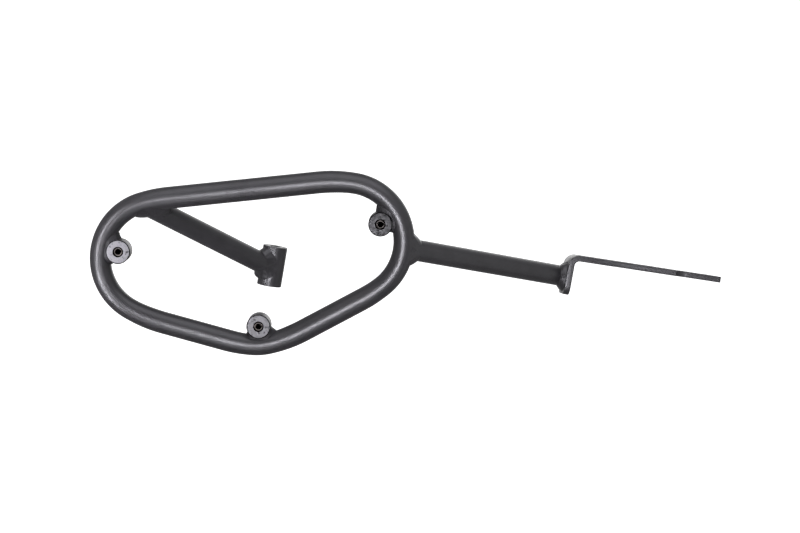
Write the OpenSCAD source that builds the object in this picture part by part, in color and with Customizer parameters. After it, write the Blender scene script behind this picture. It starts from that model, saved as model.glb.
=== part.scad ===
// Welded pannier frame for one side of a motorbike.
// The middle of the mounting sleeve is the origin. X runs to the rear along the bike,
// Y runs inwards to the bike and Z runs up along the sleeve's bolt.

/* [Loop] */
// Outside diameter of the loop's tube
tube_od = 18; // [17.5:0.5:22]
// Wall of the loop's tube
tube_wall = 2; // [1:0.25:3]
// Centreline radius of the loop's three bends
bend_r = 47; // [40:1:56]
// Centreline radius where a bend eases in and out of its straights
ease_r = 110; // [80:5:140]
// How far the tube's radius draws in where it is bent
bend_draw = 0.1; // [0.05:0.05:0.4]
// Angle turned while easing into a bend
ease_in = 11.1; // [5:0.1:14]
// Angle turned while easing out of a bend
ease_out = 15.6; // [8:0.1:18]
// Whole turn of the front bend
front_turn = 158.6; // [150:0.1:164]
// Whole turn of the lower bend
lower_turn = 43.6; // [38:0.1:50]
// Length of the top straight
top_len = 122.8; // [100:0.1:150]
// Rise of the top straight towards the rear
top_rise = 15.65; // [8:0.05:22]
// Rear end of the top straight, behind the sleeve
loop_x = 28.3; // [10:0.1:50]
// Rear end of the top straight, above the middle of the sleeve
loop_z = 81.5; // [70:0.1:100]
// Distance from the sleeve's axis out to the middle plane of the loop
loop_out = 82; // [60:1:110]

/* [Bosses] */
// Diameter of each turned boss
boss_od = 19.5; // [18:0.5:22]
// How far each boss stands proud of the tube, on both sides
boss_proud = 1; // [0.5:0.25:3]
// Core diameter of the tapped hole
thread_core = 5; // [4:0.1:7]
// Depth of the tapped hole
thread_depth = 15; // [8:0.5:18]
// Mouth diameter of the tapped hole's countersink
sink_d = 8.5; // [7.5:0.1:10]
// Front boss, as an angle into the front bend
front_boss_turn = 62; // [40:1:90]
// Depth that the front boss is notched over the tube
front_boss_notch = 4.35; // [2:0.05:5]
// Lower boss, as an angle into the lower bend
lower_boss_turn = 8.5; // [0:0.5:14]
// Depth that the lower boss is notched over the tube
lower_boss_notch = 3.15; // [2:0.05:5]
// Rear boss, as an angle into the rear bend
rear_boss_turn = 77.3; // [65:0.1:90]
// Depth that the rear boss is notched over the tube
rear_boss_notch = 3.25; // [2:0.05:5]

/* [Stays] */
// Outside diameter of both stays
stay_od = 17.5; // [14:0.5:17.5]
// Wall of both stays
stay_wall = 2; // [1:0.25:3]
// Front stay's joint, as an angle into the easing of the front bend
front_stay_turn = 10.6; // [3:0.1:11]
// Rear stay's joint, as an angle into the rear bend
rear_stay_turn = 43.8; // [35:0.1:55]

/* [Mounting sleeve] */
// Outside diameter of the sleeve
sleeve_od = 20.5; // [20:0.5:26]
// Length of the sleeve
sleeve_len = 33.5; // [30:0.5:50]
// Bore of the sleeve
sleeve_bore = 8.5; // [6:0.1:11]
// Chamfer at each mouth of the bore
sleeve_mouth = 0.6; // [0.3:0.1:1]
// How far the front stay meets the sleeve below its middle
stay_drop = 2; // [0:0.5:3]

/* [Mounting bracket] */
// Outer corner of the bend, behind the sleeve
bracket_x = 244.5; // [220:0.1:280]
// Middle of the bracket, inwards from the sleeve's axis
bracket_y = 23.1; // [10:0.1:40]
// Top face of the bracket at its bend, above the middle of the sleeve
bracket_z = 50.4; // [40:0.1:60]
// Lean of the bracket's top face inwards
bracket_lean = 4; // [0:0.5:8]
// Rise of the bracket's leg to the rear
bracket_rise = 0.8; // [-2:0.1:3]
// Turn of the bracket's leg inwards
bracket_yaw = 3; // [0:0.5:8]
// Thickness of the bracket's strip
strip_t = 5; // [4:0.5:6]
// Width of the strip at its bend
strip_w = 38; // [36:0.5:44]
// Inside radius of the bend
strip_bend_r = 4; // [3:0.5:5]
// Angle that the strip is bent by
strip_bend = 88.5; // [80:0.5:90]
// Height of the tab, over the top face
tab_h = 34.5; // [34:0.5:44]
// Radius of the tab's lower corners
tab_corner = 8; // [2:0.5:10]
// How far the rear stay meets the tab below its bend
seat_drop = 10.8; // [9:0.1:11.5]
// Length of the leg, over the tab
leg_len = 133; // [122:0.5:150]
// Start of the waist in the leg's outer edge
waist_at = 35; // [20:0.5:40]
// Length of the slope into the waist
waist_run = 10; // [5:0.5:14]
// Depth of the waist
waist_depth = 6; // [3:0.5:8]
// Start of the finger at the leg's end
finger_at = 92; // [86:0.5:95]
// Depth of the shoulder between the waist and the finger
shoulder = 10; // [6:0.5:12]
// Radius of the shoulder's hollow corner
hollow_r = 14; // [12:0.5:18]
// Radius of the finger's end corners
finger_corner = 4; // [1:0.5:6]
// Diameter of the two bolt holes
bolt_hole = 8.5; // [6:0.1:10.5]
// Middle of the end bolt hole, back from the leg's end
end_hole_back = 12; // [10:0.5:16]
// Distance between the two bolt holes
hole_pitch = 54; // [40:0.5:60]

/* [Welds] */
// Leg of the bead round the front stay, at the loop
front_stay_leg = 5.5; // [3:0.25:6.5]
// Leg of the bead round the rear stay, at the loop
rear_stay_leg = 6; // [3:0.25:6.5]
// Leg of the bead at the sleeve
sleeve_leg = 4; // [2.5:0.25:4.5]
// Leg of the bead at the bracket's tab
tab_leg = 5.25; // [3:0.25:5.5]
// Leg of a boss's bead in its wide crook with the tube
wide_crook_leg = 6.5; // [4.5:0.25:7]
// Leg of a boss's bead in its narrow crook with the tube
narrow_crook_leg = 3; // [2.5:0.25:4.5]
// Share of a bead's leg that its face is crowned by
crown = 0.14; // [0.14:0.01:0.2]
// Share of the crown that each ripple rises by
ripple = 0.35; // [0:0.05:0.6]
// Length of seam that each ripple takes
ripple_pitch = 3.2; // [2:0.1:5]

/* [Hidden] */
$fn = 48;

coat = "#2c2c2f";
bare = "#a9a9ac";

tube_r = tube_od / 2;
stay_r = stay_od / 2;
boss_r = boss_od / 2;
boss_len = tube_od + 2 * boss_proud;
sleeve_r = sleeve_od / 2;
strip_out_r = strip_bend_r + strip_t;
finger_w = strip_w - waist_depth - shoulder;
rear_turn = 360 - front_turn - lower_turn;

// Overlap that joins neighbouring lengths of the tube
lap = 0.1;
// Steps round the strip's bend, and how far its cutters reach past it
bend_steps = 16;
clear = 1;
// How far a rounded corner's arc runs past the edges that it rounds
slip = 0.02;

// Room left under each weld bead, so that it lies on its tubes without cutting them
seat_gap = 0.1;
// Steps round a seam and across each side and face of its bead
seam_steps = 64;
side_steps = 3;
face_steps = 4;
// Rounds of halving that find a seam, over this reach
halvings = 22;
seam_reach = 40;

// Plane geometry of the loop, as points [x, z] with headings in degrees
function dir(a) = [cos(a), sin(a)];
function turned_left(v) = [-v[1], v[0]];
function unit(v) = v / norm(v);

// A move is [length, 0] along a straight or [angle, radius] round a bend to the left
function moved(s, m) = m[1] == 0
    ? [s[0] + m[0] * dir(s[1]), s[1]]
    : [s[0] + m[1] * (turned_left(dir(s[1])) - turned_left(dir(s[1] + m[0]))), s[1] + m[0]];

function bend_moves(turn) = [[ease_in, ease_r], [turn - ease_in - ease_out, bend_r], [ease_out, ease_r]];

// States [point, heading] before each move and after the last one
function walked(s, moves, i = 0) = i == len(moves)
    ? [s]
    : concat([s], walked(moved(s, moves[i]), moves, i + 1));

// The two lower straights take the lengths that close the loop
top_start = [[loop_x, loop_z], 180 + top_rise];
top_move = [[top_len, 0]];
open_walk = walked(top_start,
    concat(top_move, bend_moves(front_turn), bend_moves(lower_turn), bend_moves(rear_turn)));
miss = top_start[0] - open_walk[len(open_walk) - 1][0];
front_way = dir(top_start[1] + front_turn);
rear_way = dir(top_start[1] + front_turn + lower_turn);
way_cross = front_way[0] * rear_way[1] - front_way[1] * rear_way[0];
front_len = (miss[0] * rear_way[1] - miss[1] * rear_way[0]) / way_cross;
rear_len = (front_way[0] * miss[1] - front_way[1] * miss[0]) / way_cross;

loop_moves = concat(top_move, bend_moves(front_turn), [[front_len, 0]], bend_moves(lower_turn),
    [[rear_len, 0]], bend_moves(rear_turn));
loop_states = walked(top_start, loop_moves);
front_ease = 1;
front_bend = 2;
lower_bend = 6;
rear_bend = 10;

function bend_centre(i) = loop_states[i][0] + loop_moves[i][1] * turned_left(dir(loop_states[i][1]));

// A point by a bend, from the angle into it and the distance inwards from the tube's middle
function beside(i, turn, inwards = 0) =
    bend_centre(i) - (loop_moves[i][1] - inwards) * turned_left(dir(loop_states[i][1] + turn));
function boss_at(i, turn, notch) = beside(i, turn, tube_r + boss_r - notch);

front_boss_at = boss_at(front_bend, front_boss_turn, front_boss_notch);
lower_boss_at = boss_at(lower_bend, lower_boss_turn, lower_boss_notch);
rear_boss_at = boss_at(rear_bend, rear_boss_turn, rear_boss_notch);

function in_space(q) = [q[0], -loop_out, q[1]];

// The nearest point to q on one move of the loop's centreline
function near_move(i, q) = let (s = loop_states[i], m = loop_moves[i], e = loop_states[i + 1])
    m[1] == 0
        ? s[0] + min(max((q - s[0]) * dir(s[1]), 0), m[0]) * dir(s[1])
        : let (c = bend_centre(i), v = q - c, from = s[1] - 90, a = atan2(v[1], v[0]) - from)
          let (turn = a - 360 * floor(a / 360))
          turn <= m[0] ? c + m[1] * unit(v) : norm(q - s[0]) < norm(q - e[0]) ? s[0] : e[0];
function nearest(q, i = 0, best = undef) = i == len(loop_moves) ? best
    : let (n = near_move(i, q)) nearest(q, i + 1, best == undef || norm(q - n) < norm(q - best) ? n : best);

// Places and directions on the bracket
function about_x(a) = [[1, 0, 0], [0, cos(a), -sin(a)], [0, sin(a), cos(a)]];
function about_y(a) = [[cos(a), 0, sin(a)], [0, 1, 0], [-sin(a), 0, cos(a)]];
function about_z(a) = [[cos(a), -sin(a), 0], [sin(a), cos(a), 0], [0, 0, 1]];
bracket_at = [bracket_x, bracket_y, bracket_z];
bracket_turn = about_z(bracket_yaw) * about_y(-bracket_rise) * about_x(-bracket_lean);
tab_turn = bracket_turn * about_y(90 - strip_bend);
bend_axis_at = bracket_at + bracket_turn * [strip_out_r, 0, -strip_out_r];
seat_at = bend_axis_at + tab_turn * [-strip_out_r, 0, -seat_drop];

// The stays' centrelines
front_stay_from = in_space(beside(front_ease, front_stay_turn));
front_stay_to = [0, 0, -stay_drop];
rear_stay_from = in_space(beside(rear_bend, rear_stay_turn));
rear_stay_to = seat_at;

// A surface that a bead lies on is ["loop"], ["bracket"] or ["rod", point, direction, radius].
// Its spine is the nearest point of its middle line or plane.
function spine(f, p) =
    f[0] == "loop" ? in_space(nearest([p[0], p[2]]))
    : f[0] == "rod" ? f[1] + ((p - f[1]) * f[2]) * f[2]
    : let (q = (p - bend_axis_at) * tab_turn) bend_axis_at + tab_turn * [0, q[1], min(q[2], 0)];
function surface_r(f) = f[0] == "loop" ? tube_r : f[0] == "rod" ? f[3] : strip_out_r;
function height(f, p) = norm(p - spine(f, p)) - surface_r(f);
function normal(f, p) = unit(p - spine(f, p));
function seated(f, p) = spine(f, p) + (surface_r(f) + seat_gap) * normal(f, p);

// Where a line leaves a surface, found by halving the reach
function leaving(f, p, way, low = 0, high = seam_reach, i = 0) = let (mid = (low + high) / 2)
    i == halvings ? p + mid * way
    : height(f, p + mid * way) > 0 ? leaving(f, p, way, low, mid, i + 1)
    : leaving(f, p, way, mid, high, i + 1);

function across(v) = unit(cross(v, abs(v[2]) < 0.8 ? [0, 0, 1] : [1, 0, 0]));

// Seam round a rod that ends on a surface
function rod_seam(rod, f) = let (u = across(rod[2]), w = cross(rod[2], u)) [
    for (i = [0:seam_steps - 1]) let (a = 360 * i / seam_steps)
        leaving(f, rod[1] + rod[3] * (cos(a) * u + sin(a) * w), rod[2])];

// One cut across a bead: its root, up one surface, over the face and down the other surface
function bead_cut(f, g, p, leg, rise) =
    let (n = normal(f, p), m = normal(g, p), mid = unit(n + m))
    let (up_f = unit(m - (m * n) * n), up_g = unit(n - (n * m) * m))
    let (toe_f = seated(f, p + leg * up_f), toe_g = seated(g, p + leg * up_g))
    concat([p + (seat_gap / (mid * n)) * mid],
        [for (k = [1:side_steps]) seated(f, p + (leg * k / side_steps) * up_f)],
        [for (k = [1:face_steps - 1]) let (t = k / face_steps)
            (1 - t) * toe_f + t * toe_g + rise * sin(180 * t) * mid],
        [for (k = [side_steps:-1:1]) seated(g, p + (leg * k / side_steps) * up_g)]);

function seam_length(seam) = let (n = len(seam)) [for (i = [0:n - 1]) norm(seam[(i + 1) % n] - seam[i])]
    * [for (i = [0:n - 1]) 1];

// A rippled bead along a closed seam between the surfaces f and g
module bead(f, g, seam, legs) {
    n = len(seam);
    ripples = max(1, round(seam_length(seam) / ripple_pitch));
    cuts = [for (i = [0:n - 1])
        bead_cut(f, g, seam[i], legs[i], crown * legs[i] * (1 + ripple * cos(360 * ripples * i / n)))];
    m = len(cuts[0]);
    points = [for (c = cuts) for (p = c) p];
    faces = [for (i = [0:n - 1]) for (j = [0:m - 1])
        let (k = (i + 1) % n, l = (j + 1) % m)
        let (a = i * m + j, b = i * m + l, c = k * m + l, d = k * m + j)
        each [[a, b, c], [a, c, d]]];
    polyhedron(points, faces, convexity = 6);
}

module rod_bead(from, to, r, f, leg) {
    rod = ["rod", from, unit(to - from), r];
    bead(rod, f, rod_seam(rod, f), [for (i = [1:seam_steps]) leg]);
}

// The seam round a boss runs over the front of the tube, down one crook, under and up the other
function crook_turn(at, toward, side, low = 0, high = 120, i = 0) = let (mid = (low + high) / 2)
    let (q = at + boss_r * dir(toward + side * mid))
    i == halvings ? side * mid
    : norm(q - nearest(q)) > tube_r ? crook_turn(at, toward, side, low, mid, i + 1)
    : crook_turn(at, toward, side, mid, high, i + 1);

// Its wide crook is to the left of the way from the boss to the tube where wide_side is 1.
module boss_bead(at, wide_side) {
    to_tube = nearest(at) - at;
    toward = atan2(to_tube[1], to_tube[0]);
    left = crook_turn(at, toward, 1);
    right = crook_turn(at, toward, -1);
    turns = [for (i = [0:seam_steps - 1]) 360 * (i + 0.5) / seam_steps];
    seam = [for (t = turns)
        let (q = at + boss_r * dir(toward + (left + right) / 2 + cos(t) * (left - right) / 2))
        let (depth = sqrt(max(pow(tube_r, 2) - pow(norm(q - nearest(q)), 2), 0)))
        in_space(q) - [0, sign(sin(t)) * depth, 0]];
    // Over the tube the bead ends below the boss's face
    face_leg = 0.8 * (boss_len / 2 - sqrt(pow(tube_r, 2) - pow(norm(to_tube) - boss_r, 2)));
    legs = [for (t = turns)
        let (wide = (1 + wide_side * cos(t)) / 2)
        let (crook_leg = narrow_crook_leg + (wide_crook_leg - narrow_crook_leg) * wide)
        crook_leg + (min(face_leg, crook_leg) - crook_leg) * pow(sin(t), 2)];
    bead(["loop"], ["rod", in_space(at), [0, 1, 0], boss_r], seam, legs);
}

module in_loop_plane() {
    translate([0, -loop_out, 0])
        rotate([90, 0, 0])
            children();
}

// The loop's route as one solid rod. Each wider move laps into the narrower ones beside it.
module loop_rod(r) {
    in_loop_plane()
        for (i = [0:len(loop_moves) - 1]) {
            s = loop_states[i];
            m = loop_moves[i];
            if (m[1] == 0)
                translate(s[0])
                    rotate([90, 0, s[1] + 90])
                        translate([0, 0, -lap])
                            cylinder(r = r, h = m[0] + 2 * lap);
            else {
                eased = m[1] == ease_r;
                more = eased ? lap / ease_r * 180 / PI : 0;
                translate(bend_centre(i))
                    rotate([0, 0, s[1] - 90 - more])
                        rotate_extrude(angle = m[0] + 2 * more)
                            translate([m[1], 0])
                                circle(r - (eased ? bend_draw / 2 : bend_draw));
            }
        }
}

module loop_tube() {
    color(coat)
        difference() {
            loop_rod(tube_r);
            loop_rod(tube_r - tube_wall);
        }
}

// A boss is notched to the tube and tapped from its outer face
module boss(at) {
    sink_depth = (sink_d - thread_core) / 2;
    face = boss_len / 2;
    difference() {
        in_loop_plane()
            translate(at)
                difference() {
                    translate([0, 0, -face])
                        cylinder(r = boss_r, h = boss_len);
                    translate([0, 0, face - thread_depth])
                        cylinder(d = thread_core, h = boss_len);
                    translate([0, 0, face - sink_depth])
                        cylinder(d1 = thread_core, d2 = sink_d, h = sink_depth);
                }
        loop_rod(tube_r);
    }
}

module front_boss() {
    color(bare) boss(front_boss_at);
}

module lower_boss() {
    color(bare) boss(lower_boss_at);
}

module rear_boss() {
    color(bare) boss(rear_boss_at);
}

// A bar along a line, from a point and past its other end by some length
module bar(from, to, r, past = 0) {
    v = to - from;
    translate(from)
        rotate([0, acos(v[2] / norm(v)), atan2(v[1], v[0])])
            cylinder(r = r, h = norm(v) + past);
}

module front_stay() {
    color(coat)
        difference() {
            bar(front_stay_from, front_stay_to, stay_r);
            bar(front_stay_from, front_stay_to, stay_r - stay_wall, 1);
            loop_rod(tube_r);
            cylinder(r = sleeve_r, h = 2 * sleeve_len, center = true);
        }
}

module in_bracket() {
    translate(bracket_at)
        rotate([-bracket_lean, -bracket_rise, bracket_yaw])
            children();
}

// The tab's own frame, with its outer face at x = 0 and its bend ending at z = 0
module in_tab() {
    in_bracket()
        translate([strip_out_r, 0, -strip_out_r])
            rotate([0, 90 - strip_bend, 0])
                translate([-strip_out_r, 0, 0])
                    children();
}

module rear_stay() {
    past = stay_od;
    color(coat)
        difference() {
            bar(rear_stay_from, rear_stay_to, stay_r, past);
            bar(rear_stay_from, rear_stay_to, stay_r - stay_wall, 2 * past);
            loop_rod(tube_r);
            in_tab()
                translate([0, -strip_w, -2 * tab_h])
                    cube([4 * past, 2 * strip_w, 4 * tab_h]);
        }
}

module mounting_sleeve() {
    color(coat)
        difference() {
            cylinder(r = sleeve_r, h = sleeve_len, center = true);
            cylinder(d = sleeve_bore, h = 2 * sleeve_len, center = true);
            for (side = [0, 1])
                mirror([0, 0, side])
                    translate([0, 0, sleeve_len / 2 - sleeve_mouth])
                        cylinder(d1 = sleeve_bore, d2 = sleeve_bore + 2 * sleeve_mouth, h = sleeve_mouth);
        }
}

// The strip's bend in side view, from the leg to the tab
function bend_arc(r) = [for (i = [0:bend_steps]) let (a = 90 + strip_bend * i / bend_steps)
    [strip_out_r, -strip_out_r] + r * dir(a)];

// Side view of the bent strip: over its outer face and back along its inner one
module strip_side() {
    outer = bend_arc(strip_out_r);
    inner = bend_arc(strip_bend_r);
    tab_run = (tab_h - strip_out_r) * dir(strip_bend + 180);
    polygon(concat([[leg_len, 0]], outer, [outer[bend_steps] + tab_run, inner[bend_steps] + tab_run],
        [for (i = [bend_steps:-1:0]) inner[i]], [[leg_len, -strip_t]]));
}

// Plan of the strip: full width at the tab, then the waist, the shoulder and the finger
module strip_plan() {
    outer = -strip_w / 2;
    waist = outer + waist_depth;
    finger = waist + shoulder;
    hollow_run = sqrt(pow(hollow_r, 2) - pow(hollow_r - shoulder, 2));
    polygon([[-clear, outer], [waist_at, outer], [waist_at + waist_run, waist], [finger_at, waist],
        [finger_at, -outer], [-clear, -outer]]);
    translate([finger_at, finger]) {
        square([leg_len - finger_at - finger_corner, finger_w]);
        translate([leg_len - finger_at - 2 * finger_corner, finger_corner])
            square([2 * finger_corner, finger_w - 2 * finger_corner]);
        for (y = [finger_corner, finger_w - finger_corner])
            translate([leg_len - finger_at - finger_corner, y])
                circle(finger_corner);
    }
    difference() {
        translate([finger_at, waist])
            square([hollow_run, shoulder]);
        translate([finger_at + hollow_run, finger - hollow_r])
            circle(hollow_r);
    }
}

module mounting_bracket() {
    waist_middle = waist_depth / 2;
    finger_middle = (strip_w - finger_w) / 2;
    end_hole = leg_len - end_hole_back;
    color(coat)
        difference() {
            in_bracket()
                difference() {
                    intersection() {
                        rotate([90, 0, 0])
                            linear_extrude(strip_w + 2 * clear, center = true)
                                strip_side();
                        linear_extrude(3 * tab_h, center = true)
                            strip_plan();
                    }
                    for (hole = [[end_hole, finger_middle], [end_hole - hole_pitch, waist_middle]])
                        translate(hole)
                            cylinder(d = bolt_hole, h = 4 * strip_t, center = true);
                }
            for (side = [0, 1])
                in_tab()
                    mirror([0, side, 0])
                        translate([-clear, strip_w / 2, strip_out_r - tab_h])
                            rotate([0, 90, 0])
                                linear_extrude(strip_t + 2 * clear)
                                    corner_waste(tab_corner);
        }
}

// What is cut off to round a corner. The arc crosses both edges at a slight angle.
module corner_waste(r) {
    translate([slip - r, slip - r])
        difference() {
            square(r + clear);
            circle(r);
        }
}

module front_stay_weld() {
    color(coat)
        rod_bead(front_stay_from, front_stay_to, stay_r, ["loop"], front_stay_leg);
}

module rear_stay_weld() {
    color(coat)
        rod_bead(rear_stay_from, rear_stay_to, stay_r, ["loop"], rear_stay_leg);
}

module sleeve_weld() {
    color(coat)
        rod_bead(front_stay_to, front_stay_from, stay_r, ["rod", [0, 0, 0], [0, 0, 1], sleeve_r], sleeve_leg);
}

// The rod starts inside the strip, so that its whole rim leaves the strip's outer face
module bracket_weld() {
    way = unit(rear_stay_from - rear_stay_to);
    color(coat)
        rod_bead(rear_stay_to - strip_out_r * way, rear_stay_from, stay_r, ["bracket"], tab_leg);
}

module front_boss_weld() {
    color(coat) boss_bead(front_boss_at, -1);
}

module lower_boss_weld() {
    color(coat) boss_bead(lower_boss_at, 1);
}

module rear_boss_weld() {
    color(coat) boss_bead(rear_boss_at, 1);
}

loop_tube();
front_boss();
lower_boss();
rear_boss();
front_stay();
rear_stay();
mounting_sleeve();
mounting_bracket();
front_stay_weld();
rear_stay_weld();
sleeve_weld();
bracket_weld();
front_boss_weld();
lower_boss_weld();
rear_boss_weld();
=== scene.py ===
import math

import bmesh
import bpy
from mathutils import Matrix, Vector, noise


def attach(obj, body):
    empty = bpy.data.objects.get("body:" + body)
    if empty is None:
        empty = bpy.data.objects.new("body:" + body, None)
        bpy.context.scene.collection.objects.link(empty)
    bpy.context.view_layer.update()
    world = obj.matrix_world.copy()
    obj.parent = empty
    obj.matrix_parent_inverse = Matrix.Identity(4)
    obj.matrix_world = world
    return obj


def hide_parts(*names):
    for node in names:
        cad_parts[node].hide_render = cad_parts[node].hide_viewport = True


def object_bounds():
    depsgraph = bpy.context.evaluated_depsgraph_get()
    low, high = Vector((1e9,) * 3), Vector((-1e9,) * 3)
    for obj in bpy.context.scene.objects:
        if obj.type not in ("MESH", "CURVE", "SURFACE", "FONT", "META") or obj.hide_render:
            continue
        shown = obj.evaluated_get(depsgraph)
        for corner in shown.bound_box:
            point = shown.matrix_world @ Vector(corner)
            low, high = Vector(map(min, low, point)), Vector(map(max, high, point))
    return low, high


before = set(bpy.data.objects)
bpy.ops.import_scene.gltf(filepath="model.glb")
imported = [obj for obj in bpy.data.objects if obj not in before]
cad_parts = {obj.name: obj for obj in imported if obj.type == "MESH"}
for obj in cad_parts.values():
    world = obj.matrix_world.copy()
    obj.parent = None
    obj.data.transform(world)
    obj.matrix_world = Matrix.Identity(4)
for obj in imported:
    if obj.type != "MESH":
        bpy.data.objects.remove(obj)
cad_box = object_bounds()

MM = 0.001

# The loop's tube and its bend table, in millimetres and degrees. X is to the rear and Z is up.
TUBE_R = 9.0
BEND_R = 47.0
EASE_R = 110.0
EASE_IN = 11.1
EASE_OUT = 15.6
FRONT_TURN = 158.6
LOWER_TURN = 43.6
REAR_TURN = 360.0 - FRONT_TURN - LOWER_TURN
TOP_LEN = 122.8
TOP_RISE = 15.65
TOP_REAR_END = Vector((28.3, 81.5))
LOOP_Y = -82.0
LOOP_MIDDLE = Vector((0.0, 25.0))
TUBE_SIDES = 96
RING_TURN = 2.4
RING_RUN = 6.0
RING_MERGE = 0.02

# A bent tube is drawn in, mostly on the inside of its bend, and is a little deeper across the bend
OUTER_DRAW = 0.015
INNER_DRAW = 0.07
BEND_BULGE = 0.012
FLATTENING_RUN = 22.0

# The butt weld in the top straight, ground nearly flush
BUTT_FROM_REAR = 59.0
BUTT_HALF_LEN = 21.0
BUTT_RISE = 0.22
MARK_SIZE = (2.4, 8.0, 8.0)
MARK_DEPTH = 0.8

# Bosses, by their middles in the loop's plane
BOSS_R = 9.75
BOSS_HALF_LEN = 10.0
BOSSES = {
    "front_boss": Vector((-121.222, -0.580)),
    "lower_boss": Vector((0.247, -41.119)),
    "rear_boss": Vector((83.322, 57.204)),
}
THREAD_CORE_R = 2.5
THREAD_ROOT_R = 3.0
THREAD_PITCH = 1.0
THREAD_FROM = 0.8
THREAD_TURNS = 13

# A boss's looks: its bare face, the rim round it and the sunk mouth and bore in painted shade, and the
# first threads with a painted highlight.
# The depths are from the face.
FACE_R = 9.05
FACE_DEPTH = 0.25
PAST_BOSS_R = 10.0
RIM_DEPTH = 0.4
MOUTH_R = 4.3
BORE_DEPTH = 17.0
LIT_THREAD_R = 3.2
LIT_THREAD_DEPTH = 2.0
BOSS_SIDE_COLOUR = (0.012, 0.0115, 0.0135)
UNLIT_COLOUR = (0.001, 0.001, 0.001)
LIT_THREAD_COLOUR = (0.12, 0.11, 0.1)
BOSS_METAL = 0.12

# Stays, sleeve and bracket
STAY_R = 8.75
FRONT_STAY = (Vector((-108.926, LOOP_Y, 41.107)), Vector((0.0, 0.0, -2.0)))
REAR_STAY = (Vector((104.865, LOOP_Y, 40.833)), Vector((244.564, 21.737, 30.885)))
SLEEVE_R = 10.25
SLEEVE_LUMP_AT = Vector((-9.7, -3.4, -7.5))
STRIP_BEND_AT = Vector((253.645, 22.951, 41.548))
STRIP_OUT_R = 9.0
STRIP_LEAN = 4.0
STRIP_RISE = 0.8
STRIP_YAW = 3.0
STRIP_BEND = 88.5

# The camera, fitted to the photograph's 800 x 533 frame
CAMERA_AT = Vector((0.07592, -2.22903, 0.23376))
CAMERA_TURN = (84.379, -9.753, 0.185)
LENS = 120.0

FLOOR_Z = -0.95
KEY_COLOUR = (0.94, 0.925, 1.0)


def radians(values):
    return tuple(math.radians(v) for v in values)


def alone(*objects):
    """Selects these objects and nothing else."""
    bpy.ops.object.select_all(action="DESELECT")
    for obj in objects:
        obj.select_set(True)
    bpy.context.view_layer.objects.active = objects[0]


def apply_modifier(obj, kind, **settings):
    alone(obj)
    modifier = obj.modifiers.new(kind.lower(), kind)
    for name, value in settings.items():
        setattr(modifier, name, value)
    bpy.ops.object.modifier_apply(modifier=modifier.name)


def smooth(obj, angle=35):
    alone(obj)
    bpy.ops.object.shade_smooth_by_angle(angle=math.radians(angle))


def settle(obj, name):
    """Names a finished piece, puts its place into its mesh and makes it ride on the frame."""
    alone(obj)
    bpy.ops.object.transform_apply(location=True, rotation=True, scale=True)
    obj.name = name
    obj.data.name = name
    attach(obj, "root")


# The loop's route

def heading(angle):
    return Vector((math.cos(math.radians(angle)), math.sin(math.radians(angle))))


def left_of(v):
    return Vector((-v.y, v.x))


class Move:
    """One length of the loop's centreline: a straight, or a bend to the left."""

    def __init__(self, start, angle, amount, radius):
        self.start, self.angle, self.amount, self.radius = start, angle, amount, radius
        if radius:
            self.centre = start + radius * left_of(heading(angle))
            self.end = self.centre - radius * left_of(heading(angle + amount))
            self.end_angle = angle + amount
            self.length = math.radians(amount) * radius
        else:
            self.end = start + amount * heading(angle)
            self.end_angle = angle
            self.length = amount

    def nearest(self, q):
        """The nearest centreline point to q, and its distance along this move."""
        if not self.radius:
            run = min(max((q - self.start).dot(heading(self.angle)), 0), self.length)
            return self.start + run * heading(self.angle), run
        v = q - self.centre
        turn = (math.degrees(math.atan2(v.y, v.x)) - (self.angle - 90)) % 360
        if turn <= self.amount:
            return self.centre + self.radius * v.normalized(), math.radians(turn) * self.radius
        if (q - self.start).length < (q - self.end).length:
            return self.start, 0.0
        return self.end, self.length


def bend(turn):
    """A bend's rows in the table: an easier run in, the full bend and an easier run out."""
    return [(EASE_IN, EASE_R), (turn - EASE_IN - EASE_OUT, BEND_R), (EASE_OUT, EASE_R)]


def walk(table):
    """The moves of a table of amounts and radii, from the top straight's rear end."""
    moves = []
    at, angle = TOP_REAR_END, 180 + TOP_RISE
    for amount, radius in table:
        moves.append(Move(at, angle, amount, radius))
        at, angle = moves[-1].end, moves[-1].end_angle
    return moves


def closed_route():
    """The moves of the bend table, with the two lower straights at the lengths that close the loop."""
    table = [(TOP_LEN, 0), *bend(FRONT_TURN), *bend(LOWER_TURN), *bend(REAR_TURN)]
    miss = TOP_REAR_END - walk(table)[-1].end
    front_way = heading(180 + TOP_RISE + FRONT_TURN)
    rear_way = heading(180 + TOP_RISE + FRONT_TURN + LOWER_TURN)
    cross = front_way.cross(rear_way)
    table.insert(7, (front_way.cross(miss) / cross, 0))
    table.insert(4, (miss.cross(rear_way) / cross, 0))
    return walk(table)


ROUTE = closed_route()
STARTS = [sum(m.length for m in ROUTE[:i]) for i in range(len(ROUTE))]
FULL_BENDS = (2, 6, 10)


def on_route(q):
    """The nearest centreline point to q, and its distance along the whole route."""
    found = []
    for move, start in zip(ROUTE, STARTS):
        point, run = move.nearest(q)
        found.append(((q - point).length, start + run, point))
    _, run, point = min(found, key=lambda f: f[0])
    return point, run


def in_space(q):
    """A point of the loop's plane, as a point in space."""
    return Vector((q.x, LOOP_Y, q.y))


def bent_share(run):
    """How far a place on the route is drawn in by its bend, from 0 to 1."""
    best = 0.0
    for i in FULL_BENDS:
        low, high = STARTS[i], STARTS[i] + ROUTE[i].length
        outside = max(low - run, run - high, 0.0)
        share = max(0.0, 1 - outside / FLATTENING_RUN)
        best = max(best, share * share * (3 - 2 * share))
    return best


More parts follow.
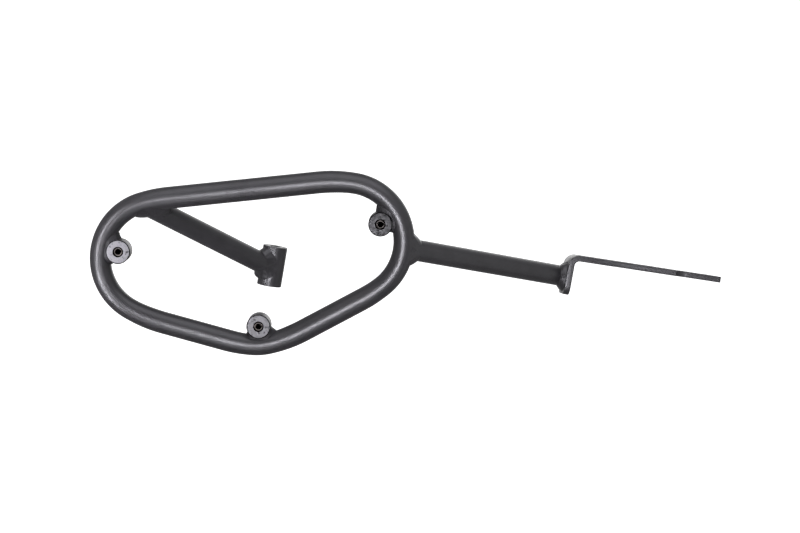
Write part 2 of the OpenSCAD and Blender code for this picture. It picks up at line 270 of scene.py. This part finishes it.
def loop_tube():
    """A ring drawn out along each straight and swung round each bend."""
    first = ROUTE[0]
    bpy.ops.object.select_all(action="DESELECT")
    bpy.ops.mesh.primitive_circle_add(
        vertices=TUBE_SIDES, radius=TUBE_R * MM, location=in_space(first.start) * MM,
        rotation=(0, math.radians(90 - first.angle), 0))
    tube = bpy.context.object
    alone(tube)
    bpy.ops.object.transform_apply(location=True, rotation=True, scale=True)
    bpy.ops.object.mode_set(mode="EDIT")
    bpy.ops.mesh.select_all(action="SELECT")
    for move in ROUTE:
        if move.radius:
            steps = max(2, round(move.amount / RING_TURN))
            bpy.ops.mesh.spin(steps=steps, angle=math.radians(move.amount),
                              center=in_space(move.centre) * MM, axis=(0, 1, 0))
        else:
            steps = max(2, round(move.length / RING_RUN))
            step = move.length / steps * heading(move.angle) * MM
            for _ in range(steps):
                bpy.ops.mesh.extrude_region_move(TRANSFORM_OT_translate={"value": (step.x, 0, step.y)})
    bpy.ops.mesh.select_all(action="SELECT")
    bpy.ops.mesh.remove_doubles(threshold=RING_MERGE * MM)
    bpy.ops.mesh.normals_make_consistent(inside=False)
    bpy.ops.object.mode_set(mode="OBJECT")
    for v in tube.data.vertices:
        p = v.co / MM
        q = Vector((p.x, p.z))
        middle, run = on_route(q)
        share = bent_share(run)
        draw = INNER_DRAW if (q - middle).dot(LOOP_MIDDLE - middle) > 0 else OUTER_DRAW
        q = middle + (q - middle) * (1 - draw * share)
        y = LOOP_Y + (p.y - LOOP_Y) * (1 + BEND_BULGE * share)
        p = Vector((q.x, y, q.y))
        away = abs(run - BUTT_FROM_REAR) / BUTT_HALF_LEN
        if away < 1:
            out = (p - in_space(middle)).normalized()
            lumps = noise.noise(p * 0.16) * 0.6 + noise.noise(p * 0.5) * 0.4
            p += out * BUTT_RISE * (1 - away * away) ** 2 * lumps
        v.co = p * MM
    smooth(tube, 60)
    return tube


# Weld beads. Each surface gives the nearest point of its middle line and its radius.

class LoopSurface:
    radius = TUBE_R

    def spine(self, p):
        return in_space(on_route(Vector((p.x, p.z)))[0])


class RodSurface:
    def __init__(self, at, way, radius):
        self.at, self.way, self.radius = at, way.normalized(), radius

    def spine(self, p):
        return self.at + (p - self.at).dot(self.way) * self.way


class StripSurface:
    radius = STRIP_OUT_R

    def __init__(self):
        yaw, rise, lean, tab = radians((STRIP_YAW, -STRIP_RISE, -STRIP_LEAN, 90 - STRIP_BEND))
        self.turn = (Matrix.Rotation(yaw, 3, "Z") @ Matrix.Rotation(rise, 3, "Y")
                     @ Matrix.Rotation(lean, 3, "X") @ Matrix.Rotation(tab, 3, "Y"))

    def spine(self, p):
        q = self.turn.transposed() @ (p - STRIP_BEND_AT)
        return STRIP_BEND_AT + self.turn @ Vector((0, q.y, min(q.z, 0)))


SEAM_STEPS = 240
HALVINGS = 22
LOOP = LoopSurface()
SLEEVE = RodSurface(Vector((0, 0, 0)), Vector((0, 0, 1)), SLEEVE_R)
STRIP = StripSurface()


def out_of(surface, p):
    """The way straight out of a surface at p."""
    return (p - surface.spine(p)).normalized()


def seated(surface, p, lift=0.0):
    """The point of a surface under p, lifted off it."""
    middle = surface.spine(p)
    return middle + (surface.radius + lift) * (p - middle).normalized()


def leaving(surface, p, way, reach=40.0):
    """Where a line from inside a surface leaves it."""
    low, high = 0.0, reach
    for _ in range(HALVINGS):
        mid = (low + high) / 2
        q = p + mid * way
        if (q - surface.spine(q)).length > surface.radius:
            high = mid
        else:
            low = mid
    return p + high * way


def rod_seam(rod, surface):
    """The seam round a rod that ends inside a surface."""
    side = rod.way.orthogonal().normalized()
    other = rod.way.cross(side)
    seam = []
    for i in range(SEAM_STEPS):
        a = math.tau * i / SEAM_STEPS
        rim = rod.at + rod.radius * (math.cos(a) * side + math.sin(a) * other)
        seam.append(leaving(surface, rim, rod.way))
    return seam


def even_seam(seam, gap):
    """The same closed seam with its points an even distance apart."""
    lengths = [0.0]
    for i in range(len(seam)):
        lengths.append(lengths[-1] + (seam[(i + 1) % len(seam)] - seam[i]).length)
    count = round(lengths[-1] / gap)
    points, i = [], 0
    for k in range(count):
        want = lengths[-1] * k / count
        while lengths[i + 1] < want:
            i += 1
        t = (want - lengths[i]) / (lengths[i + 1] - lengths[i])
        points.append(seam[i].lerp(seam[(i + 1) % len(seam)], t))
    return points, lengths[-1]


BEAD_GAP = 0.4
BEAD_FACES = 14
BEAD_ROOT = 1.2
BOSS_BEAD_CROWN = -0.05
RIPPLE = 0.02
RIPPLE_PITCH = 2.6
RIPPLE_CURVE = 2.2
LUMPS = 0.1
LUMPS_PER_MM = 0.05
ASIDE = Vector((0, 0, 9))


def bead(first, second, seam, legs_at, crown=0.02, bulges=()):
    """A rippled bead in the corner between two surfaces, with its legs as a function of the seam's share.

    Its toes run a little under both surfaces. A crown below 0 makes its face hollow. Each bulge is
    a place, a reach and a height.
    """
    points, length = even_seam(seam, BEAD_GAP)
    ripples = round(length / RIPPLE_PITCH)
    mesh = bpy.data.meshes.new("bead")
    shape = bmesh.new()
    rings = []
    for i, p in enumerate(points):
        run = i / len(points)
        n, m = out_of(first, p), out_of(second, p)
        middle = (n + m).normalized()
        up_first = (m - m.dot(n) * n).normalized()
        up_second = (n - n.dot(m) * m).normalized()
        wander = Vector((math.cos(math.tau * run), math.sin(math.tau * run), 0)) * length * LUMPS_PER_MM
        leg_first, leg_second = legs_at(run)
        toe_first = seated(first, p + leg_first * (1 + LUMPS * noise.noise(wander)) * up_first)
        toe_second = seated(second, p + leg_second * (1 + LUMPS * noise.noise(wander + ASIDE)) * up_second)
        ring = [p - BEAD_ROOT * middle, seated(first, toe_first, -BEAD_ROOT)]
        leg = (leg_first + leg_second) / 2
        bulge = sum(rise * max(0.0, 1 - ((p - at).length / reach) ** 2) ** 2 for at, reach, rise in bulges)
        for k in range(BEAD_FACES + 1):
            t = k / BEAD_FACES
            swell = math.sin(math.pi * t)
            phase = math.tau * ripples * run + RIPPLE_CURVE * (2 * t - 1) ** 2
            height = crown * swell + RIPPLE * 0.5 * (1 + math.cos(phase)) * swell ** 0.7
            height += LUMPS * 0.5 * noise.noise(wander * 1.7 + 2 * ASIDE + Vector((0, 0, 1.5 * t))) * swell
            ring.append(toe_first.lerp(toe_second, t) + (leg * height + bulge * swell) * middle)
        ring.append(seated(second, toe_second, -BEAD_ROOT))
        rings.append([shape.verts.new(q * MM) for q in ring])
    for i, ring in enumerate(rings):
        after = rings[(i + 1) % len(rings)]
        for j in range(len(ring)):
            k = (j + 1) % len(ring)
            shape.faces.new((ring[j], ring[k], after[k], after[j]))
    bmesh.ops.recalc_face_normals(shape, faces=shape.faces)
    shape.to_mesh(mesh)
    shape.free()
    obj = bpy.data.objects.new("bead", mesh)
    bpy.context.scene.collection.objects.link(obj)
    smooth(obj, 60)
    return obj


def rod_bead(near, far, surface, legs, **looks):
    """A bead round the end of a stay that runs from near, inside a surface, to far."""
    rod = RodSurface(near, far - near, STAY_R)
    return bead(rod, surface, rod_seam(rod, surface), lambda run: legs, **looks)


def crook_turn(at, toward, side):
    """How far round a boss its rim meets the loop's tube."""
    low, high = 0.0, 120.0
    for _ in range(HALVINGS):
        mid = (low + high) / 2
        q = at + BOSS_R * heading(toward + side * mid)
        if (q - on_route(q)[0]).length > TUBE_R:
            high = mid
        else:
            low = mid
    return side * low


def boss_bead(at, left_leg, right_leg, face_legs):
    """A bead over the front of the tube, down one crook, under it and up the other."""
    to_tube = on_route(at)[0] - at
    toward = math.degrees(math.atan2(to_tube.y, to_tube.x))
    left, right = crook_turn(at, toward, 1), crook_turn(at, toward, -1)
    seam = []
    for i in range(SEAM_STEPS):
        t = math.tau * (i + 0.5) / SEAM_STEPS
        q = at + BOSS_R * heading(toward + (left + right) / 2 + math.cos(t) * (left - right) / 2)
        depth = math.sqrt(max(TUBE_R ** 2 - (q - on_route(q)[0]).length_squared, 0))
        seam.append(in_space(q) - Vector((0, math.copysign(depth, math.sin(t)), 0)))

    def legs_at(run):
        crook_leg = right_leg + (left_leg - right_leg) * (1 + math.cos(math.tau * run)) / 2
        share = math.sin(math.tau * run) ** 2
        return tuple(crook_leg + (leg - crook_leg) * share for leg in face_legs)

    rod = RodSurface(in_space(at), Vector((0, 1, 0)), BOSS_R)
    return bead(LOOP, rod, seam, legs_at, crown=BOSS_BEAD_CROWN)


def widen_bore(piece, at):
    """Opens a boss's plain bore to just past the root of its thread."""
    axis = in_space(at)
    for v in piece.data.vertices:
        away = Vector((v.co.x / MM - axis.x, 0, v.co.z / MM - axis.z))
        if 1 < away.length < THREAD_CORE_R + 0.1:
            v.co += away * (THREAD_ROOT_R + 0.05 - away.length) / away.length * MM


def thread(at):
    """The thread of a boss: one pitch of its profile, screwed into the bore."""
    flat, flank = THREAD_PITCH / 8, THREAD_PITCH * 5 / 16
    crest = THREAD_PITCH / 4
    heights = (0, flat, flat + flank, flat + flank + crest, THREAD_PITCH)
    radii = (THREAD_ROOT_R, THREAD_ROOT_R, THREAD_CORE_R, THREAD_CORE_R, THREAD_ROOT_R)
    corners = [(r * MM, 0, h * MM) for r, h in zip(radii, heights)]
    mesh = bpy.data.meshes.new("thread")
    mesh.from_pydata(corners, [(i, i + 1) for i in range(4)], [])
    piece = bpy.data.objects.new("thread", mesh)
    bpy.context.scene.collection.objects.link(piece)
    apply_modifier(piece, "SCREW", axis="Z", angle=math.tau, screw_offset=THREAD_PITCH * MM, steps=32,
                   iterations=THREAD_TURNS, use_merge_vertices=True, merge_threshold=0.002 * MM)
    bpy.ops.object.mode_set(mode="EDIT")
    bpy.ops.mesh.select_all(action="SELECT")
    bpy.ops.mesh.normals_make_consistent(inside=True)
    bpy.ops.object.mode_set(mode="OBJECT")
    piece.rotation_euler.x = -math.pi / 2
    piece.location = (in_space(at) + Vector((0, THREAD_FROM - BOSS_HALF_LEN, 0))) * MM
    bpy.ops.object.transform_apply(location=True, rotation=True, scale=True)
    smooth(piece, 30)
    return piece


def dressed(node, edge, angle=40, reshape=None):
    """A copy of a CAD node with its loose triangles joined and its sharp edges rounded."""
    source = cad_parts[node]
    piece = bpy.data.objects.new(node + "_finish", source.data.copy())
    bpy.context.scene.collection.objects.link(piece)
    alone(piece)
    bpy.ops.object.mode_set(mode="EDIT")
    bpy.ops.mesh.select_all(action="SELECT")
    bpy.ops.mesh.remove_doubles(threshold=0.004 * MM)
    bpy.ops.mesh.dissolve_limited(angle_limit=math.radians(0.5))
    bpy.ops.object.mode_set(mode="OBJECT")
    if reshape:
        reshape(piece)
    apply_modifier(piece, "BEVEL", width=edge * MM, segments=3, limit_method="ANGLE",
                   angle_limit=math.radians(angle), harden_normals=False)
    smooth(piece, angle)
    return piece


# Materials

def new_material(name):
    material = bpy.data.materials.new(name)
    material.use_nodes = True
    tree = material.node_tree
    return material, tree, tree.nodes["Principled BSDF"]


def add(tree, kind, **inputs):
    """A new node. Each value goes to its input of that name, or else to the node itself."""
    node = tree.nodes.new(kind)
    for name, value in inputs.items():
        key = name.replace("_", " ").title()
        if key in node.inputs:
            node.inputs[key].default_value = value
        else:
            setattr(node, name, value)
    return node


def grain(tree, scale, detail=4.0, rough=0.6):
    """Noise on object coordinates, with its scale in features a metre."""
    place = tree.nodes.new("ShaderNodeTexCoord")
    texture = add(tree, "ShaderNodeTexNoise", scale=scale, detail=detail, roughness=rough)
    tree.links.new(place.outputs["Object"], texture.inputs["Vector"])
    return texture


def ramp(tree, source, stops):
    """A colour ramp over a value, with stops as (place, colour)."""
    node = tree.nodes.new("ShaderNodeValToRGB")
    elements = node.color_ramp.elements
    while len(elements) < len(stops):
        elements.new(0.5)
    for element, (place, colour) in zip(elements, stops):
        element.position = place
        element.color = (*colour, 1)
    tree.links.new(source, node.inputs["Fac"])
    return node


def grey(value):
    return (value, value, value)


def bump(tree, shader, layers):
    """Stacks bump layers, each a height, its strength and its distance in metres."""
    normal = None
    for height, strength, distance in layers:
        node = add(tree, "ShaderNodeBump", strength=strength, distance=distance)
        tree.links.new(height, node.inputs["Height"])
        if normal:
            tree.links.new(normal, node.inputs["Normal"])
        normal = node.outputs["Normal"]
    tree.links.new(normal, shader.inputs["Normal"])


def mapped(tree, value, source, target=(0.0, 1.0), **looks):
    """A value moved from its source range to a target range."""
    node = add(tree, "ShaderNodeMapRange", **looks)
    for end, low_high in (("From", source), ("To", target)):
        node.inputs[end + " Min"].default_value, node.inputs[end + " Max"].default_value = low_high
    tree.links.new(value, node.inputs["Value"])
    return node.outputs["Result"]


def under(tree, value, limit):
    """1 where a value is less than its limit, and 0 elsewhere."""
    node = add(tree, "ShaderNodeMath", operation="LESS_THAN")
    tree.links.new(value, node.inputs[0])
    node.inputs[1].default_value = limit
    return node.outputs["Value"]


def joined(tree, first, second, operation="MULTIPLY"):
    """Two values multiplied, or joined by another operation. The second may be a plain number."""
    node = add(tree, "ShaderNodeMath", operation=operation)
    tree.links.new(first, node.inputs[0])
    if isinstance(second, float):
        node.inputs[1].default_value = second
    else:
        tree.links.new(second, node.inputs[1])
    return node.outputs["Value"]


def blend(tree, share, first, second, kind="MIX"):
    """Two colours mixed. The share and the colours are nodes' outputs, or plain values."""
    mix = add(tree, "ShaderNodeMix", data_type="RGBA", blend_type=kind)
    for key, value in (("Factor", share), ("A", first), ("B", second)):
        if isinstance(value, float):
            mix.inputs[key].default_value = value
        elif isinstance(value, tuple):
            mix.inputs[key].default_value = (*value, 1)
        else:
            tree.links.new(value, mix.inputs[key])
    return mix.outputs["Result"]


def ground_marks(tree):
    """Height of the marks left where the butt weld was ground, faded out along the tube."""
    run = math.radians(TOP_RISE)
    middle = TOP_REAR_END - BUTT_FROM_REAR * Vector((math.cos(run), math.sin(run)))
    place = tree.nodes.new("ShaderNodeTexCoord")
    local = add(tree, "ShaderNodeMapping", vector_type="TEXTURE")
    local.inputs["Location"].default_value = in_space(middle) * MM
    local.inputs["Rotation"].default_value = (0, -run, 0)
    local.inputs["Scale"].default_value = Vector(MARK_SIZE) * MM
    tree.links.new(place.outputs["Object"], local.inputs["Vector"])
    marks = add(tree, "ShaderNodeTexNoise", scale=1.0, detail=3.0, roughness=0.6)
    tree.links.new(local.outputs["Vector"], marks.inputs["Vector"])
    ball = add(tree, "ShaderNodeMapping", vector_type="TEXTURE")
    ball.inputs["Location"].default_value = in_space(middle) * MM
    ball.inputs["Scale"].default_value = Vector((1, 1, 1)) * BUTT_HALF_LEN * MM
    tree.links.new(place.outputs["Object"], ball.inputs["Vector"])
    near = add(tree, "ShaderNodeTexGradient", gradient_type="SPHERICAL")
    tree.links.new(ball.outputs["Vector"], near.inputs["Vector"])
    fade = mapped(tree, near.outputs["Fac"], (0.05, 0.5), interpolation_type="SMOOTHSTEP")
    return joined(tree, marks.outputs["Fac"], fade)


def powder_coat(name, rough=(0.33, 0.45), relief=1.0, ground=False, shine=0.5):
    """Satin black powder coat: fine grain, a soft orange peel and slight tone changes."""
    material, tree, shader = new_material(name)
    tone = grain(tree, 90, detail=3)
    colours = ramp(tree, tone.outputs["Fac"],
                   [(0.3, (0.01, 0.0096, 0.0104)), (0.7, (0.015, 0.0144, 0.0156))])
    tree.links.new(colours.outputs["Color"], shader.inputs["Base Color"])
    speckle = grain(tree, 1400, detail=2)
    gloss = ramp(tree, speckle.outputs["Fac"], [(0.35, grey(rough[0])), (0.65, grey(rough[1]))])
    tree.links.new(gloss.outputs["Color"], shader.inputs["Roughness"])
    peel = grain(tree, 420, detail=2)
    fine = grain(tree, 1900, detail=3)
    layers = [(peel.outputs["Fac"], 0.08 * relief, 0.0002), (fine.outputs["Fac"], 0.15 * relief, 0.00006)]
    if ground:
        layers.append((ground_marks(tree), 0.6, MARK_DEPTH * MM))
    bump(tree, shader, layers)
    shader.inputs["Specular IOR Level"].default_value = shine
    return material


def boss_zones(tree, centre):
    """Where a boss is bare face, where it takes no light, and where its first threads are lit."""
    split = tree.nodes.new("ShaderNodeSeparateXYZ")
    tree.links.new(centre, split.inputs["Vector"])
    flat = add(tree, "ShaderNodeVectorMath", operation="MULTIPLY")
    flat.inputs[1].default_value = (1, 0, 1)
    tree.links.new(centre, flat.inputs[0])
    length = add(tree, "ShaderNodeVectorMath", operation="LENGTH")
    tree.links.new(flat.outputs["Vector"], length.inputs[0])

    def within(radius, depth):
        """Inside a radius, and less than a depth behind the face."""
        return joined(tree, under(tree, length.outputs["Value"], radius * MM),
                      under(tree, split.outputs["Y"], (depth - BOSS_HALF_LEN) * MM))

    face = within(FACE_R, FACE_DEPTH)
    rim = joined(tree, within(PAST_BOSS_R, RIM_DEPTH), face, "SUBTRACT")
    unlit = joined(tree, rim, within(MOUTH_R, BORE_DEPTH), "MAXIMUM")
    return face, unlit, within(LIT_THREAD_R, LIT_THREAD_DEPTH)


def boss_finish(name, at, face_tone_and_reflection, blotch, face_shine):
    """A boss: coated sides, and a turned face that was masked, with stains on it. The face's tone holds a
    painted reflection, set boss by boss; the rim and bore get painted shade and the first threads a
    painted highlight.
    """
    material, tree, shader = new_material(name)
    place = tree.nodes.new("ShaderNodeTexCoord")
    centre = add(tree, "ShaderNodeMapping")
    centre.inputs["Location"].default_value = -in_space(at) * MM
    tree.links.new(place.outputs["Object"], centre.inputs["Vector"])
    face, unlit, lit_thread = boss_zones(tree, centre.outputs["Vector"])

    rings = add(tree, "ShaderNodeTexWave", wave_type="RINGS", rings_direction="Y", scale=900.0,
                distortion=1.5, detail=2.0, detail_scale=2.0)
    tree.links.new(centre.outputs["Vector"], rings.inputs["Vector"])
    specks = grain(tree, 1500, detail=3, rough=0.7)
    stains = grain(tree, 330, detail=5, rough=0.65)
    # Bare steel tone, with each face's painted reflection in it
    light = tuple(face_tone_and_reflection * c for c in (1.0, 0.99, 1.03))
    dark = tuple(c * 0.5 for c in light)
    steel = ramp(tree, specks.outputs["Fac"], [(0.3, dark), (0.62, light)])
    stained = ramp(tree, stains.outputs["Fac"], [(blotch - 0.08, grey(0.3)), (blotch + 0.02, grey(1.0))])

    colour = blend(tree, 1.0, steel.outputs["Color"], stained.outputs["Color"], "MULTIPLY")
    colour = blend(tree, face, BOSS_SIDE_COLOUR, colour)
    colour = blend(tree, unlit, colour, UNLIT_COLOUR)
    colour = blend(tree, lit_thread, colour, LIT_THREAD_COLOUR)
    tree.links.new(colour, shader.inputs["Base Color"])
    tree.links.new(joined(tree, face, BOSS_METAL), shader.inputs["Metallic"])
    shine = mapped(tree, unlit, (0.0, 1.0), (face_shine, 0.0))
    tree.links.new(joined(tree, stained.outputs["Color"], shine), shader.inputs["Specular IOR Level"])
    gloss = ramp(tree, specks.outputs["Fac"], [(0.3, grey(0.42)), (0.7, grey(0.52))])
    tree.links.new(gloss.outputs["Color"], shader.inputs["Roughness"])
    bump(tree, shader, [(rings.outputs["Fac"], 0.12, 0.00005), (specks.outputs["Fac"], 0.25, 0.0001)])
    return material


def paint(obj, material):
    obj.data.materials.clear()
    obj.data.materials.append(material)


coat = powder_coat("powder_coat")
loop_coat = powder_coat("loop_coat", ground=True)
weld_coat = powder_coat("weld_coat", rough=(0.28, 0.4), relief=1.3)
boss_weld_coat = powder_coat("boss_weld_coat", rough=(0.45, 0.6), relief=1.3, shine=0.25)

# Pieces

tube = loop_tube()
settle(tube, "loop_tube_finish")
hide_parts("loop_tube")
paint(tube, loop_coat)

for node, edge in (("mounting_bracket", 0.5), ("mounting_sleeve", 0.4)):
    piece = dressed(node, edge)
    settle(piece, node + "_finish")
    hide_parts(node)
    paint(piece, coat)

for node in ("front_stay", "rear_stay"):
    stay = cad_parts[node]
    stay.data.materials.clear()
    stay.data.materials.append(coat)

# Each boss's face tone, the noise level under which it is stained, and its shine. The face tone is bare
# steel with a painted reflection: each face is brighter or darker by how it catches the lamps.
FACE_LOOKS = {
    "front_boss": (0.165, 0.41, 0.5),
    "lower_boss": (0.095, 0.44, 0.5),
    "rear_boss": (0.018, 0.48, 0.35),
}
for node, at in BOSSES.items():
    piece = dressed(node, 0.25, reshape=lambda piece: widen_bore(piece, at))
    alone(piece, thread(at))
    bpy.ops.object.join()
    settle(piece, node + "_finish")
    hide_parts(node)
    paint(piece, boss_finish(node + "_face", at, *FACE_LOOKS[node]))

rear_way = (REAR_STAY[0] - REAR_STAY[1]).normalized()
beads = {
    "front_stay_weld": rod_bead(*FRONT_STAY, LOOP, (6.0, 5.0)),
    "rear_stay_weld": rod_bead(*REAR_STAY, LOOP, (6.5, 5.2)),
    "sleeve_weld": rod_bead(FRONT_STAY[1], FRONT_STAY[0], SLEEVE, (5.0, 4.4), crown=-0.06,
                            bulges=[(SLEEVE_LUMP_AT, 4.0, 1.8)]),
    "bracket_weld": rod_bead(REAR_STAY[1] - STRIP_OUT_R * rear_way, REAR_STAY[0], STRIP, (5.5, 5.0)),
}
# Each boss's bead: its legs in the left and right crooks, seen from outside, and over the tube
BOSS_BEADS = {
    "front_boss": (3.0, 6.5, (1.8, 0.7)),
    "lower_boss": (6.0, 3.0, (1.8, 0.7)),
    "rear_boss": (7.0, 3.0, (2.2, 0.6)),
}
for boss, (left_leg, right_leg, face_legs) in BOSS_BEADS.items():
    beads[boss + "_weld"] = boss_bead(BOSSES[boss], left_leg, right_leg, face_legs)
for node, piece in beads.items():
    settle(piece, node + "_finish")
    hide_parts(node)
    paint(piece, boss_weld_coat if "boss" in node else weld_coat)


# Stage, lights and camera

def floor():
    bpy.ops.object.select_all(action="DESELECT")
    bpy.ops.mesh.primitive_plane_add(size=60, location=(0, 0, FLOOR_Z))
    ground = bpy.context.object
    ground.name = "floor"
    material, _, shader = new_material("pale_floor")
    shader.inputs["Base Color"].default_value = (0.93, 0.93, 0.93, 1)
    shader.inputs["Roughness"].default_value = 0.9
    shader.inputs["Specular IOR Level"].default_value = 0.0
    shader.inputs["Emission Color"].default_value = (1, 1, 1, 1)
    shader.inputs["Emission Strength"].default_value = 1.0
    ground.data.materials.append(material)
    ground.visible_diffuse = False
    ground.visible_glossy = False
    ground.visible_shadow = False


def hang(data, target, back, distance, power, colour):
    """Puts a lamp at a distance back from its target, aimed at it and hidden from the camera."""
    data.energy = power
    data.color = colour
    lamp = bpy.data.objects.new(data.name, data)
    lamp.location = target + back * distance
    lamp.rotation_euler = (-back).to_track_quat("-Z", "Y").to_euler()
    lamp.visible_camera = False
    bpy.context.scene.collection.objects.link(lamp)


def softbox(name, direction, distance, size, power, colour=(1, 1, 1)):
    """A rectangular area light in a direction from the object's middle."""
    data = bpy.data.lights.new(name, "AREA")
    data.shape = "RECTANGLE"
    data.size, data.size_y = size
    hang(data, (cad_box[0] + cad_box[1]) / 2, Vector(direction).normalized(), distance, power, colour)


def key_lamp(name, target, azimuth, elevation, distance, reach, radius, power):
    """A round lamp that lights one side of the object. Its azimuth is to the right of the front."""
    az, el = radians((azimuth, elevation))
    back = Vector((math.sin(az) * math.cos(el), -math.cos(az) * math.cos(el), math.sin(el)))
    data = bpy.data.lights.new(name, "SPOT")
    data.shadow_soft_size = radius
    data.spot_size = 2 * math.atan(reach / distance)
    data.spot_blend = 0.5
    hang(data, Vector(target) * MM, back, distance, power, KEY_COLOUR)


def room_light():
    """White to the camera, and for the object a soft grey all round with a white backdrop behind it."""
    world = bpy.data.worlds.new("studio")
    bpy.context.scene.world = world
    world.use_nodes = True
    tree = world.node_tree
    tree.nodes.clear()
    out = tree.nodes.new("ShaderNodeOutputWorld")
    path = tree.nodes.new("ShaderNodeLightPath")
    mix = tree.nodes.new("ShaderNodeMixShader")
    white = add(tree, "ShaderNodeBackground", strength=1.2)
    white.inputs["Color"].default_value = (1, 1, 1, 1)
    soft = add(tree, "ShaderNodeBackground", strength=0.66)
    place = tree.nodes.new("ShaderNodeTexCoord")
    split = tree.nodes.new("ShaderNodeSeparateXYZ")
    tree.links.new(place.outputs["Generated"], split.inputs["Vector"])
    colours = ramp(tree, mapped(tree, split.outputs["Z"], (-1.0, 1.0)),
                   [(0.0, (0.36, 0.355, 0.365)), (0.45, (0.47, 0.465, 0.475)), (1.0, (0.76, 0.76, 0.79))])
    behind = mapped(tree, split.outputs["Y"], (0.8, 0.97), interpolation_type="SMOOTHSTEP")
    tree.links.new(blend(tree, behind, colours.outputs["Color"], grey(1.3)), soft.inputs["Color"])
    tree.links.new(path.outputs["Is Camera Ray"], mix.inputs["Fac"])
    tree.links.new(soft.outputs["Background"], mix.inputs[1])
    tree.links.new(white.outputs["Background"], mix.inputs[2])
    tree.links.new(mix.outputs["Shader"], out.inputs["Surface"])


floor()
room_light()
for elevation, power in ((-36, 26), (-22, 22), (-7, 17), (8, 15)):
    key_lamp("left_key", (-155, -82, 5), -35, elevation, 0.9, 0.11, 0.06, power)
for azimuth in (-15, -3):
    key_lamp("front_key", (175, -82, 20), azimuth, -9, 1.3, 0.25, 0.15, 46)
key_lamp("top_key", (-25, -82, 80), -3, 1, 1.0, 0.11, 0.13, 24)
key_lamp("low_key", (-25, -82, -58), -8, -15, 0.8, 0.08, 0.08, 11)
key_lamp("leg_key", (264, 5, 45), 12, 3, 1.0, 0.1, 0.1, 4.5)
key_lamp("finger_key", (350, 10, 45), 40, 3, 1.0, 0.06, 0.05, 13)
softbox("overhead", (-0.05, -0.5, 1.0), 1.3, (1.6, 1.2), 12, KEY_COLOUR)
softbox("under", (0.0, -0.75, -0.65), 1.8, (1.0, 0.6), 6, KEY_COLOUR)
softbox("back_fill", (0.5, 0.9, 0.4), 1.8, (1.2, 1.2), 4)
softbox("rear_key", (0.1, 1.0, 0.2), 1.8, (1.0, 1.0), 4)
softbox("side_card", (0.97, -0.24, 0.05), 0.6, (0.3, 1.0), 0.45)

camera = bpy.data.objects.new("camera", bpy.data.cameras.new("camera"))
camera.data.lens = LENS
camera.data.sensor_width = 36
camera.data.clip_end = 100
camera.location = CAMERA_AT
camera.rotation_euler = radians(CAMERA_TURN)
bpy.context.scene.collection.objects.link(camera)
bpy.context.scene.camera = camera
bpy.context.scene.view_settings.view_transform = "Standard"
bpy.context.scene.view_settings.look = "None"
